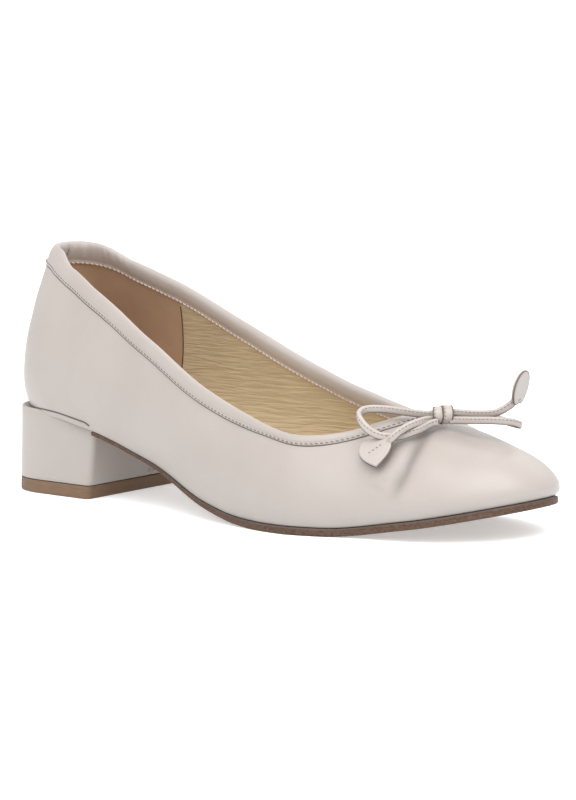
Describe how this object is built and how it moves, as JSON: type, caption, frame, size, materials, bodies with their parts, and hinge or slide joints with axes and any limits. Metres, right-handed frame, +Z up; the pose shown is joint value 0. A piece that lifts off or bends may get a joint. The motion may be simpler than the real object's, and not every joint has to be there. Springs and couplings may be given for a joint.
{
  "type": "low block heel pump with a bow",
  "caption": "Right shoe: pale leather pump with an almond toe, a padded topline, a tied strip bow and a low leather-covered block heel.",
  "frame": {"origin": "middle of the heel's tread, on the floor", "axes": "+X towards the toe, +Y to the wearer's left, which is the shoe's inner side, +Z up"},
  "size_m": [0.247, 0.0816, 0.0947],
  "materials": {
    "upper_leather": "smooth pale blush leather, soft satin",
    "lining_leather": "matt tan lining leather",
    "sole_leather": "brown sole leather, matt edge",
    "top_piece_rubber": "brown rubber, matt",
    "dark_trim": "plain dark leather, matt"
  },
  "bodies": {
    "root": {"upper": "upper_leather", "topline_binding": "upper_leather", "insole": "lining_leather", "outsole": "sole_leather", "heel_block": "upper_leather", "top_piece": "top_piece_rubber", "back_strip": "dark_trim", "bow_knot": "upper_leather", "bow_loop_outer": "upper_leather", "bow_loop_inner": "upper_leather", "bow_end_outer": "upper_leather", "bow_end_inner": "upper_leather", "bow_tab_outer": "upper_leather", "bow_tab_inner": "upper_leather"}
  },
  "joints": []
}
